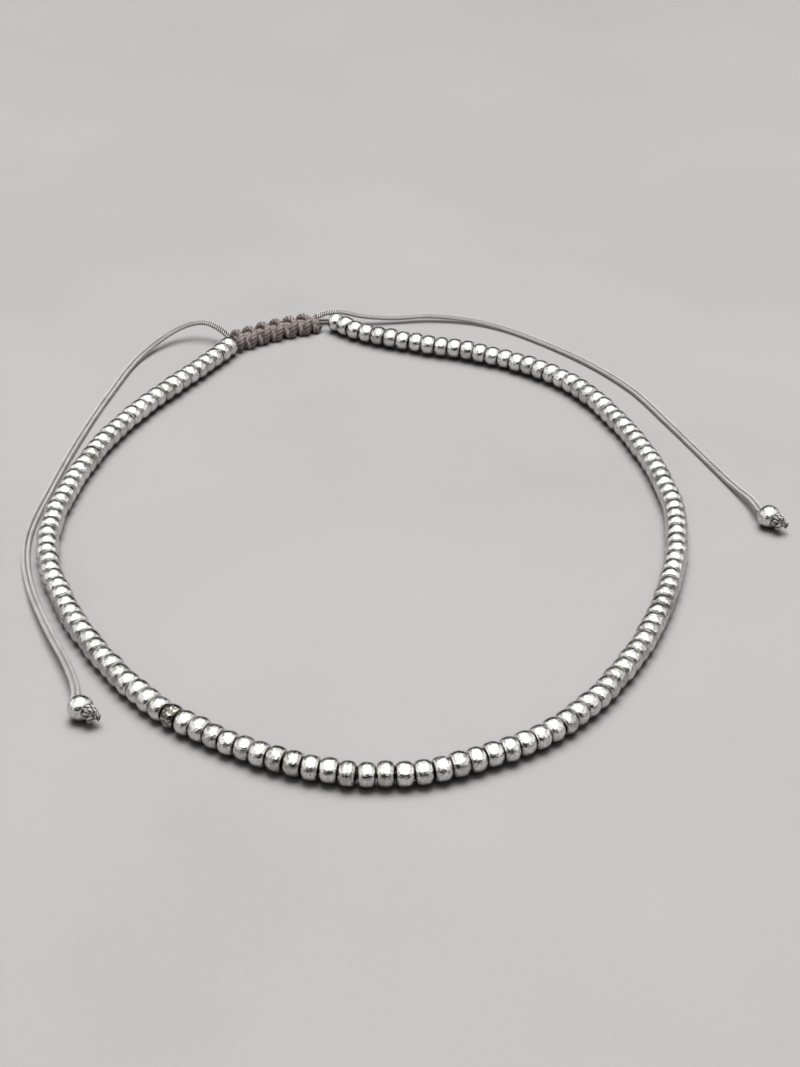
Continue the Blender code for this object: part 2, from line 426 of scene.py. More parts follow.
class Route:
    """A smooth curve through listed points, read by distance along it."""

    def __init__(self, points: Sequence[Vector], legs: int = 32) -> None:
        """Runs a centripetal Catmull-Rom curve through the points."""
        self.points = self._smooth(list(points), legs)
        self.distances = [0.0]
        for start, end in zip(self.points, self.points[1:]):
            self.distances.append(self.distances[-1] + (end - start).length)

    @staticmethod
    def _smooth(route: list[Vector], legs: int) -> list[Vector]:
        """Returns the curve's points, with a number of legs between each two of the route."""
        control = [route[0] * 2 - route[1], *route, route[-1] * 2 - route[-2]]
        points = [route[0].copy()]
        for p0, p1, p2, p3 in zip(control, control[1:], control[2:], control[3:]):
            t1 = math.sqrt((p1 - p0).length)
            t2 = t1 + math.sqrt((p2 - p1).length)
            t3 = t2 + math.sqrt((p3 - p2).length)
            for step in range(1, legs + 1):
                t = t1 + (t2 - t1) * step / legs
                a1 = p0.lerp(p1, t / t1)
                a2 = p1.lerp(p2, (t - t1) / (t2 - t1))
                a3 = p2.lerp(p3, (t - t2) / (t3 - t2))
                b1 = a1.lerp(a2, t / t2)
                b2 = a2.lerp(a3, (t - t1) / (t3 - t1))
                points.append(b1.lerp(b2, (t - t1) / (t2 - t1)))
        return points

    @property
    def length(self) -> float:
        """The curve's length."""
        return self.distances[-1]

    def at(self, distance: float) -> Vector:
        """Returns the point at a distance from the start."""
        high = min(max(bisect_left(self.distances, distance), 1), len(self.distances) - 1)
        low = high - 1
        span = self.distances[high] - self.distances[low]
        return self.points[low].lerp(self.points[high], (distance - self.distances[low]) / span)

    def direction(self, distance: float) -> Vector:
        """Returns the curve's direction at a distance from the start."""
        reach = 0.1 * MM
        before = self.at(max(0.0, distance - reach))
        return (self.at(min(self.length, distance + reach)) - before).normalized()

    def every(self, spacing: float) -> list[tuple[Vector, Vector]]:
        """Returns (point, direction) pairs about a spacing apart, from end to end."""
        count = max(2, round(self.length / spacing))
        places = [self.length * index / count for index in range(count + 1)]
        return [(self.at(place), self.direction(place)) for place in places]


# Meshes from geometry nodes


def new_tree(name: str, inputs: Sequence[tuple[str, str, Any]]) -> tuple[NodeGraph, Placed]:
    """Starts a geometry tree.

    Args:
        name: The tree's name.
        inputs: The name, socket type and default of each input after the geometry.

    Returns:
        The graph and its group input.
    """
    tree = bpy.data.node_groups.new(name, "GeometryNodeTree")
    tree.interface.new_socket(name="Geometry", in_out="INPUT", socket_type="NodeSocketGeometry")
    for label, kind, default in inputs:
        socket = tree.interface.new_socket(name=label, in_out="INPUT", socket_type=kind)
        if default is not None:
            socket.default_value = default
    tree.interface.new_socket(name="Geometry", in_out="OUTPUT", socket_type="NodeSocketGeometry")
    graph = NodeGraph(tree)
    return graph, graph.node("NodeGroupInput")


def close_tree(graph: NodeGraph, shape: Signal, material: Signal) -> NodeTree:
    """Ends a geometry tree in realized, smooth and dressed geometry."""
    smooth = graph.node("GeometryNodeSetShadeSmooth", {}, {"Geometry": shape})[0]
    real = graph.node("GeometryNodeRealizeInstances", {}, {"Geometry": smooth})[0]
    dressed = graph.node("GeometryNodeSetMaterial", {}, {"Geometry": real, "Material": material})[0]
    graph.node("NodeGroupOutput", {}, {0: dressed})
    return graph.tree


def circle(graph: NodeGraph, sides: Signal, radius: Any) -> Signal:
    """Returns a closed round curve."""
    inputs = {"Resolution": sides, "Radius": radius}
    return graph.node("GeometryNodeCurvePrimitiveCircle", {"mode": "RADIUS"}, inputs)["Curve"]


def marked(graph: NodeGraph, shape: Signal, name: str, value: Signal) -> Signal:
    """Returns a shape with a value stored on each of its points."""
    settings = {"data_type": "FLOAT", "domain": "POINT"}
    inputs = {"Geometry": shape, "Name": name, "Value": value}
    return graph.node("GeometryNodeStoreNamedAttribute", settings, inputs)[0]


def moved(graph: NodeGraph, shape: Signal, how: str, value: Signal) -> Signal:
    """Returns a shape whose points are set to a Position or moved by an Offset."""
    return graph.node("GeometryNodeSetPosition", {}, {"Geometry": shape, how: value})[0]


def beads_tree() -> NodeTree:
    """Builds the tree that puts an uneven bead on each point, its hole along the point's direction."""
    graph, given = new_tree("threaded_beads", [
        ("Diameter", NUMBER, 2.6 * MM),
        ("Length", NUMBER, 1.62 * MM),
        ("Shoulder", NUMBER, 0.62 * MM),
        ("Lip", NUMBER, 0.12 * MM),
        ("Squareness", NUMBER, 2.3),
        ("Rim Sides", WHOLE, 24),
        ("Section Sides", WHOLE, 20),
        ("Diameter Spread", NUMBER, 0.05),
        ("Length Spread", NUMBER, 0.04),
        ("Tilt", NUMBER, 0.05),
        ("Dents", NUMBER, 0.012 * MM),
        ("Dent Scale", NUMBER, 900.0),
        ("Seed", WHOLE, 1),
        ("Finish", MATERIAL, None),
    ])

    def scatter(low: Any, high: Any, offset: int) -> Signal:
        """Returns a random number for each point."""
        inputs = {"Min": low, "Max": high, "Seed": given["Seed"] + offset}
        return graph.node("FunctionNodeRandomValue", {"data_type": "FLOAT"}, inputs)["Value"]

    def either_way(limit: Signal, offset: int) -> Signal:
        """Returns a random number for each point, up to a limit above or below zero."""
        return scatter(limit * -1, limit, offset)

    def named(name: str, kind: str = "FLOAT") -> Signal:
        """Returns an attribute of the points."""
        return graph.node("GeometryNodeInputNamedAttribute", {"data_type": kind}, {"Name": name})["Attribute"]

    def squared(value: Signal) -> Signal:
        """Returns a circle's coordinate pushed out towards a rounded square's."""
        size = graph.calculate("ABSOLUTE", value)
        return graph.calculate("SIGN", value) * size ** (2 / given["Squareness"])

    place = graph.node("GeometryNodeInputPosition")[0]
    parts = graph.node("ShaderNodeSeparateXYZ", {}, {"Vector": place})
    rim = circle(graph, given["Rim Sides"], given["Diameter"] / 2 - given["Shoulder"])
    outside = graph.calculate("GREATER_THAN", parts["X"], 0.0)
    depth = given["Lip"] + (given["Shoulder"] - given["Lip"]) * outside
    ring = marked(graph, circle(graph, given["Section Sides"], 1.0), "across", parts["Y"])
    outline = graph.vector(squared(parts["X"]) * depth, squared(parts["Y"]) * given["Length"] / 2, 0.0)
    section = moved(graph, ring, "Position", outline)
    bead = graph.node("GeometryNodeCurveToMesh", {}, {"Curve": rim, "Profile Curve": section})["Mesh"]

    wide = (1 - scatter(0.0, given["Diameter Spread"], 0)) * named("width_share")
    long = (1 + either_way(given["Length Spread"], 1)) * named("length_share")
    raised = graph.vector(0.0, 0.0, wide * given["Diameter"] / 2)
    seated = moved(graph, given["Geometry"], "Offset", raised)
    along = named("along", "FLOAT_VECTOR")
    aligned = graph.node("FunctionNodeAlignRotationToVector", {"axis": "Z"}, {"Vector": along})[0]
    tilt = given["Tilt"]
    lean = graph.vector(either_way(tilt, 2), either_way(tilt, 3), scatter(0.0, math.tau, 4))
    turn = graph.node("FunctionNodeEulerToRotation", {}, {0: lean})[0]
    turned = graph.node("FunctionNodeRotateRotation", {"rotation_space": "LOCAL"}, {0: aligned, 1: turn})[0]
    threaded = graph.node("GeometryNodeInstanceOnPoints", {}, {
        "Points": seated, "Instance": bead, "Rotation": turned, "Scale": graph.vector(wide, wide, long),
    })[0]
    real = graph.node("GeometryNodeRealizeInstances", {}, {"Geometry": threaded})[0]
    unevenness = graph.node("ShaderNodeTexNoise", {}, {
        "Vector": place, "Scale": given["Dent Scale"], "Detail": 1.0,
    })[0]
    inward = graph.scaled(graph.node("GeometryNodeInputNormal")[0], unevenness * given["Dents"] * -1)
    return close_tree(graph, moved(graph, real, "Offset", inward), given["Finish"])


def strands_tree() -> NodeTree:
    """Builds the tree that lays a twisted strand along each chain of edges."""
    graph, given = new_tree("twisted_strands", [
        ("Diameter", NUMBER, 0.52 * MM),
        ("Plies", WHOLE, 3),
        ("Ply Depth", NUMBER, 0.42),
        ("Sides", WHOLE, 12),
        ("Twist Turn", NUMBER, 0.85 * MM),
        ("Ring Spacing", NUMBER, 0.07 * MM),
        ("Hand", NUMBER, 1.0),
        ("Finish", MATERIAL, None),
    ])
    chains = graph.node("GeometryNodeMeshToCurve", {}, {"Mesh": given["Geometry"]})[0]
    even = graph.node("GeometryNodeResampleCurve", {"mode": "LENGTH"}, {
        "Curve": chains, "Length": given["Ring Spacing"],
    })[0]
    travelled = graph.node("GeometryNodeSplineParameter")["Length"]
    turned = travelled / given["Twist Turn"] * math.tau * given["Hand"]
    tilted = graph.node("GeometryNodeSetCurveTilt", {}, {"Curve": even, "Tilt": turned})[0]
    number = graph.node("GeometryNodeInputIndex")[0]
    lobe = graph.calculate("COSINE", number / given["Sides"] * given["Plies"] * math.tau)
    place = graph.node("GeometryNodeInputPosition")[0]
    pulled = graph.scaled(place, (lobe - 1) * given["Ply Depth"] / 2)
    ring = marked(graph, circle(graph, given["Sides"], given["Diameter"] / 2), "groove", (1 - lobe) / 2)
    laid = graph.node("GeometryNodeCurveToMesh", {}, {
        "Curve": tilted, "Profile Curve": moved(graph, ring, "Offset", pulled), "Fill Caps": True,
    })["Mesh"]
    return close_tree(graph, laid, given["Finish"])


TREES: dict[str, Callable[[], NodeTree]] = {
    "threaded_beads": beads_tree,
    "twisted_strands": strands_tree,
}


def grow(name: str, mesh: Mesh, tree_name: str, inputs: dict[str, Any]) -> Object:
    """Grows a piece from a mesh of points or chains.

    Args:
        name: The piece's name.
        mesh: The points or chains, with the attributes that the tree reads.
        tree_name: Which tree to run.
        inputs: The tree's inputs by name.

    Returns:
        The piece, as a plain mesh at the origin.
    """
    tree = bpy.data.node_groups.get(tree_name) or TREES[tree_name]()
    piece = bpy.data.objects.new(name, mesh)
    bpy.context.scene.collection.objects.link(piece)
    modifier = piece.modifiers.new(tree_name, "NODES")
    modifier.node_group = tree
    for item in tree.interface.items_tree:
        if item.item_type == "SOCKET" and item.in_out == "INPUT" and item.name in inputs:
            modifier[item.identifier] = inputs[item.name]
    graph = bpy.context.evaluated_depsgraph_get()
    plain = bpy.data.meshes.new_from_object(
        piece.evaluated_get(graph), preserve_all_data_layers=True, depsgraph=graph
    )
    piece.modifiers.clear()
    piece.data = plain
    plain.name = name
    return piece


@dataclass
class Point:
    """One bead's place on the string."""

    place: Vector
    along: Vector
    tone: float = 1.0
    width_share: float = 1.0
    length_share: float = 1.0


def point_mesh(name: str, points: Sequence[Point]) -> Mesh:
    """Returns a mesh of points with the attributes that the beads' tree reads."""
    mesh = bpy.data.meshes.new(name)
    mesh.from_pydata([point.place for point in points], [], [])
    along = mesh.attributes.new("along", "FLOAT_VECTOR", "POINT")
    along.data.foreach_set("vector", [value for point in points for value in point.along])
    for label in ("tone", "width_share", "length_share"):
        layer = mesh.attributes.new(label, "FLOAT", "POINT")
        layer.data.foreach_set("value", [getattr(point, label) for point in points])
    return mesh


def chain_mesh(
    name: str, chains: Sequence[Sequence[Vector]], tones: Sequence[Sequence[float]] | None = None
) -> Mesh:
    """Returns a mesh of separate chains of edges.

    Args:
        name: The mesh's name.
        chains: The points of each chain.
        tones: The tone of each of those points, or None where all are plain cord.

    Returns:
        The mesh, with a tone on each point.
    """
    vertices, edges = [], []
    for chain in chains:
        start = len(vertices)
        vertices += list(chain)
        edges += [(start + index, start + index + 1) for index in range(len(chain) - 1)]
    mesh = bpy.data.meshes.new(name)
    mesh.from_pydata(vertices, edges, [])
    layer = mesh.attributes.new("tone", "FLOAT", "POINT")
    flat = [tone for chain in tones for tone in chain] if tones else [1.0] * len(vertices)
    layer.data.foreach_set("value", flat)
    return mesh


def side_by_side(
    route: Route, spacing: float, apart: float, wander: float = 0.0, seed: int = 0, upright: float = 0.0
) -> list[list[Vector]]:
    """Returns two chains that run beside a route.

    Args:
        route: The line between the two.
        spacing: How far apart a chain's points are.
        apart: How far apart the two chains are.
        wander: How much further apart they may drift, in metres.
        seed: Sets where they drift.
        upright: 0 where they lie side by side, 1 where one is above the other.

    Returns:
        The two chains' points.
    """
    drift_length = 9 * MM
    phase = random.Random(seed).uniform(0, math.tau)
    chains: list[list[Vector]] = [[], []]
    for index, (point, direction) in enumerate(route.every(spacing)):
        side = (direction.cross(UP).normalized() * (1 - upright) + UP * upright).normalized()
        drift = wander * (0.5 + 0.5 * math.sin(phase + index * spacing / drift_length)) ** 2
        for chain, sign in zip(chains, (-1, 1)):
            chain.append(point + side * sign * (apart + drift) / 2)
    return chains


def ride(piece: Object, slot: Slot, *nodes: str) -> Object:
    """Puts a finished piece on the model.

    Args:
        piece: The piece.
        slot: Not used.
        *nodes: The model's nodes that it stands for.

    Returns:
        The piece.
    """
    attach(piece, ROOT)
    if nodes:
        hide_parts(*nodes)
    piece.data.calc_loop_triangles()
    LOG.info("%s: %d triangles", piece.name, len(piece.data.loop_triangles))
    return piece


# Sub-assemblies


@dataclass(frozen=True)
class OddBead:
    """A bead that the photograph shows out of line or unlike the rest."""

    index: int
    setback_mm: float = 0.0
    tone: float = 1.0
    width_share: float = 1.0
    length_share: float = 1.0


@dataclass
class BeadString:
    """The loop of silver glass beads, in two halves that meet at the front."""

    count: int = 136
    diameter: float = 2.68 * MM
    gap: float = 0.04 * MM
    shoulder: float = 0.62 * MM
    bare_left: float = 2.2 * MM
    bare_right: float = 2.75 * MM
    sway: float = 0.07 * MM
    fade: float = 0.45
    lift_mm: float = 0.045
    seed: int = 11
    odd: tuple[OddBead, ...] = (
        OddBead(49, tone=0.06, width_share=0.96, length_share=0.94),
        OddBead(57, setback_mm=0.12),
        OddBead(59, setback_mm=0.15),
        OddBead(62, setback_mm=0.12),
        OddBead(86, tone=0.5, width_share=0.97, length_share=0.95),
    )

    def points(self) -> tuple[list[Point], float]:
        """Places the beads.

        Returns:
            The beads in order from the knot's left end, and their pitch.
        """
        route = Route(in_metres(LOOP_ROUTE_MM, self.lift_mm))
        pitch = (route.length - self.bare_left - self.bare_right) / (self.count - 1)
        chance = random.Random(self.seed)
        odd = {bead.index: bead for bead in self.odd}
        points = []
        for index in range(self.count):
            distance = self.bare_left + pitch * index
            along = route.direction(distance)
            inward = along.cross(-UP)
            sway = chance.uniform(-self.sway, self.sway)
            tone = 1.0 - self.fade * chance.random() ** 3
            own = odd.get(index, OddBead(index))
            place = route.at(distance) + inward * (sway + own.setback_mm * MM)
            points.append(Point(place, along, tone * own.tone, own.width_share, own.length_share))
        return points, pitch

    def build(self) -> None:
        """Builds and dresses the two halves."""
        points, pitch = self.points()
        half = self.count // 2
        for side, beads in (("left", points[:half]), ("right", points[half:])):
            piece = grow(f"silver_beads_{side}", point_mesh(side, beads), "threaded_beads", {
                "Diameter": self.diameter, "Length": pitch - self.gap, "Shoulder": self.shoulder,
                "Seed": self.seed, "Finish": SILVER.material(),
            })
            ride(piece, Slot.SILVER_GLASS, f"bead_string_{side}")


@dataclass
class BaseCord:
    """The doubled cord that runs from one tail through the knot, the beads and the knot again."""

    strand: float = 0.5 * MM
    height_mm: float = 1.3
    core_low_mm: float = 0.85
    core_high_mm: float = 1.30
    bare_share: float = 0.06
    # Painted shade: the tone of the cord where it runs inside the beads and the knot
    painted_shade_tone: float = 0.0
    upright: float = 0.85
    spacing: float = 0.6 * MM

    def line(self) -> list[Vector]:
        """Returns the cord's line from the right tail to the left one."""
        start, end = Vector(LOOP_ROUTE_MM[0]), Vector(LOOP_ROUTE_MM[-1])
        loop = [(*point, self.height_mm) for point in LOOP_ROUTE_MM[1:-1]]
        inner = [0.9, 0.5, 0.1]
        below = [(*start.lerp(end, share), self.core_low_mm) for share in inner]
        above = [(*start.lerp(end, share), self.core_high_mm) for share in inner]
        route = [RIGHT_TAIL_ROUTE_MM[0], *below, *loop, *above, LEFT_TAIL_ROUTE_MM[0]]
        return in_metres(route)

    def build(self) -> None:
        """Builds and dresses the cord."""
        chains = side_by_side(Route(self.line()), self.spacing, self.strand, upright=self.upright)
        count = len(chains[0])
        bare = round(self.bare_share * count)
        # Painted shade: the cord inside the beads and the knot takes the dark tone, standing in for its shade
        # there
        tones = [1.0 if index < bare or index >= count - bare else self.painted_shade_tone for index in range(count)]
        piece = grow("base_cord", chain_mesh("base_cord", chains, [tones, tones]), "twisted_strands", {
            "Diameter": self.strand, "Sides": 9, "Ring Spacing": 0.2 * MM, "Finish": KNOT_CORD.material(),
        })
        ride(piece, Slot.WAXED_CORD, "bead_string_left", "bead_string_right")


@dataclass
class SlidingKnot:
    """The sinnet of square knots that two working cords tie round the base cord."""

    repeats: int = 6
    cord: float = 1.02 * MM
    width: float = 3.5 * MM
    height: float = 2.4 * MM
    bow: float = 0.55 * MM
    core_apart: float = 0.85 * MM
    core_height_mm: float = 1.15
    core_steps: int = 40
    along_spread_mm: float = 0.07
    lowest_rise: float = 0.92
    tuck: float = 0.4
    legs: int = 12
    spacing: float = 0.12 * MM
    seed: int = 5
    far: tuple[Place, ...] = (
        (0.00, 1.00, 0.10), (0.10, 1.00, 0.72), (0.28, 0.66, 1.00), (0.44, 0.10, 0.78), (0.58, -0.50, 0.42),
        (0.70, -0.90, 0.00), (0.82, -0.20, 0.00), (0.92, 0.60, 0.00),
    )
    near: tuple[Place, ...] = (
        (0.00, -1.00, 0.10), (0.10, -1.00, 0.68), (0.28, -0.66, 1.00), (0.42, -0.16, 0.62),
        (0.56, 0.40, 0.20), (0.70, 0.90, 0.00), (0.82, 0.20, 0.00), (0.92, -0.60, 0.00),
    )

    @staticmethod
    def ends(height_mm: float = 0.0) -> tuple[Vector, Vector, Vector, Vector]:
        """Returns the sinnet's two ends at a height, and the ways along it and level across it."""
        start, end = in_metres([LOOP_ROUTE_MM[0], LOOP_ROUTE_MM[-1]], height_mm)
        ahead = (end - start).normalized()
        return start, end, ahead, Vector((-ahead.y, ahead.x, 0))

    def bowed(self, share: float) -> float:
        """Returns how far the sinnet bows out at a share of its length."""
        return self.bow * math.sin(math.pi * share)

    def cord_line(self, table: Sequence[Place]) -> list[Vector]:
        """Returns one working cord's line.

        Args:
            table: (share of a knot's length, share of the half width, share of the height) of one knot.

        Returns:
            The smooth line's points in the model's frame.
        """
        start, end, ahead, across = self.ends()
        pitch = (end - start).length / self.repeats
        reach = (self.width - self.cord) / 2
        rise = self.height - self.cord
        chance = random.Random(self.seed)
        points = []
        for knot in range(self.repeats):
            for along, side, up in table:
                stray = chance.uniform(-self.along_spread_mm, self.along_spread_mm) * MM
                lift = self.cord / 2 + rise * up * chance.uniform(self.lowest_rise, 1.0)
                aside = reach * side + self.bowed((knot + along) / self.repeats)
                points.append(start + ahead * (pitch * (knot + along) + stray) + across * aside + UP * lift)
        points.append(end + across * reach * table[0][1] * self.tuck + UP * self.height / 2)
        return [point for point, _ in Route(points, self.legs).every(self.spacing)]

    def core_line(self, side: float) -> list[Vector]:
        """Returns the line of one side of the core that the working cords wrap."""
        start, end, _, across = self.ends(self.core_height_mm)
        shares = [index / self.core_steps for index in range(self.core_steps + 1)]
        return [start.lerp(end, share) + across * (side + self.bowed(share)) for share in shares]

    def build(self) -> None:
        """Builds and dresses the working cords and the core that they wrap."""
        chains = [self.cord_line(self.far), self.cord_line(self.near)]
        chains += [self.core_line(side * self.core_apart / 2) for side in (-1, 1)]
        piece = grow("square_knot_sinnet", chain_mesh("sinnet", chains), "twisted_strands", {
            "Diameter": self.cord, "Plies": 4, "Ply Depth": 0.05, "Sides": 20, "Twist Turn": 1.8 * MM,
            "Ring Spacing": 0.1 * MM, "Finish": KNOT_CORD.material(),
        })
        ride(piece, Slot.WAXED_CORD, "sliding_knot")


@dataclass
class Tail:
    """One adjusting tail: two strands, an end bead and the overhand knot that keeps it on."""

    side: str
    route_mm: list[Place]
    bead_mm: Place
    bead_axis: Place
    hand: Hand
    strand: float = 0.52 * MM
    pair_width: float = 1.04 * MM
    spacing: float = 0.4 * MM
    drift: float = 0.03 * MM
    path_spacing: float = 0.8 * MM
    lying_height_mm: float = 0.6
    raised_height_mm: float = 1.3
    drop_mm: float = 0.30
    bead_diameter: float = 2.7 * MM
    bead_length: float = 1.7 * MM
    bead_fullness: float = 0.4 * MM
    clearance: float = 0.3 * MM
    knot_length: float = 1.2 * MM
    knot_ring: float = 0.42 * MM
    knot_tube: float = 0.27 * MM
    knot_strand: float = 0.50 * MM
    knot_depth: float = 1.1
    knot_shift: float = 0.16 * MM
    knot_steps: int = 72
    stub_length: float = 0.55 * MM
    stub_inside: float = 0.35 * MM
    stub_foot: float = 0.25 * MM
    stub_sideways: Place = (2.2, 0.6, -1.5)
    stub_splay: float = 0.22
    stub_steps: int = 8

    @property
    def axis(self) -> Vector:
        """The end bead's axis, away from the tail."""
        return Vector(self.bead_axis).normalized()

    @property
    def bead_middle(self) -> Vector:
        """The end bead's middle."""
        return in_metres([self.bead_mm])[0]

    def route(self) -> Route:
        """Returns the pair's middle line, lowered where it lies on the surface, up to the overhand knot."""
        lowered = []
        for x, y, z in self.route_mm:
            share = (self.raised_height_mm - z) / (self.raised_height_mm - self.lying_height_mm)
            share = min(1.0, max(0.0, share))
            lowered.append((x, y, z - self.drop_mm * share))
        points = in_metres(lowered)
        points.append(self.bead_middle)
        points.append(self.bead_middle + self.axis * (self.bead_length / 2 + self.clearance))
        return Route(points)

    def build_cord(self, route: Route) -> Object:
        """Builds the two strands."""
        chains = side_by_side(route, self.spacing, self.strand, self.drift, seed=len(self.side))
        cord = grow(f"tail_strands_{self.side}", chain_mesh("tail", chains), "twisted_strands", {
            "Diameter": self.strand, "Plies": 2, "Ply Depth": 0.36, "Twist Turn": 0.66 * MM,
            "Ring Spacing": 0.055 * MM, "Hand": self.hand.value, "Finish": TAIL_CORD.material(),
        })
        return ride(cord, Slot.WAXED_CORD, f"tail_cord_{self.side}")

    def build_bead(self) -> Object:
        """Builds the end bead."""
        middle = self.bead_middle - UP * self.bead_diameter / 2 - self.axis * self.bead_fullness / 4
        mesh = point_mesh("end", [Point(middle, self.axis)])
        bead = grow(f"silver_end_bead_{self.side}", mesh, "threaded_beads", {
            "Diameter": self.bead_diameter, "Length": self.bead_length + self.bead_fullness,
            "Shoulder": 0.80 * MM, "Squareness": 2.1, "Rim Sides": 40, "Section Sides": 28,
            "Diameter Spread": 0.0, "Length Spread": 0.0, "Dents": 0.03 * MM, "Finish": SILVER.material(),
        })
        return ride(bead, Slot.SILVER_GLASS, f"end_bead_{self.side}")

    def knot_frame(self) -> tuple[Vector, Vector, Vector]:
        """Returns the overhand knot's middle, the level way across it, and the way square to both."""
        middle = self.bead_middle + self.axis * (self.bead_length + self.knot_length) / 2
        across = self.axis.cross(UP).normalized()
        return middle, across, across.cross(self.axis)

    def knot_turns(self, sign: int) -> list[Vector]:
        """Returns the closed three-lobed turns of the strand nearer the bead, for -1, or of the other."""
        middle, across, upright = self.knot_frame()
        turn = math.tau / 6 if sign > 0 else 0.0
        points = []
        for step in range(self.knot_steps + 1):
            angle = math.tau * step / self.knot_steps
            ring = self.knot_ring + self.knot_tube * math.cos(3 * angle)
            out = across * math.cos(2 * angle + turn) + upright * math.sin(2 * angle + turn)
            ahead = self.knot_shift * sign + self.knot_tube * self.knot_depth * math.sin(3 * angle)
            points.append(middle + out * ring + self.axis * ahead)
        return points

    def build_knot(self) -> Object:
        """Builds the overhand knot of both strands, with their scorched ends."""
        middle, _, upright = self.knot_frame()
        chains = [self.knot_turns(sign) for sign in (-1, 1)]
        tones = [[1.0] * len(chain) for chain in chains]
        foot = middle + self.axis * self.stub_foot
        shares = [index / self.stub_steps for index in range(self.stub_steps + 1)]
        stub_way = (self.axis + Vector(self.stub_sideways)).normalized()
        for splay in (-self.stub_splay, self.stub_splay):
            way = (stub_way + upright * splay).normalized() * (self.stub_length + self.stub_inside)
            chains.append([foot + way * share for share in shares])
            tones.append([min(1.0, 2.0 - 2.0 * share) for share in shares])
        knot = grow(f"overhand_knot_{self.side}", chain_mesh("knot", chains, tones), "twisted_strands", {
            "Diameter": self.knot_strand, "Plies": 2, "Ply Depth": 0.25, "Twist Turn": 0.8 * MM,
            "Ring Spacing": 0.06 * MM, "Finish": TAIL_CORD.material(),
        })
        return ride(knot, Slot.WAXED_CORD, f"stop_knot_{self.side}")

    def build(self) -> None:
        route = self.route()
        cord, bead, knot = self.build_cord(route), self.build_bead(), self.build_knot()
        path = [point for point, _ in route.every(self.path_spacing)]
        LOG.info("tail %s: %.1f mm long", self.side, route.length / MM)


# The studio


def rectangle(start: Place, end: Place) -> list[Place]:
    """Returns the corners of a level or upright card, from one corner to the opposite one."""
    (x0, y0, z0), (x1, y1, z1) = start, end
    sideways = x0 == x1
    return [start, (x1, y1 if sideways else y0, z0), end, (x0, y0 if sideways else y1, z1)]


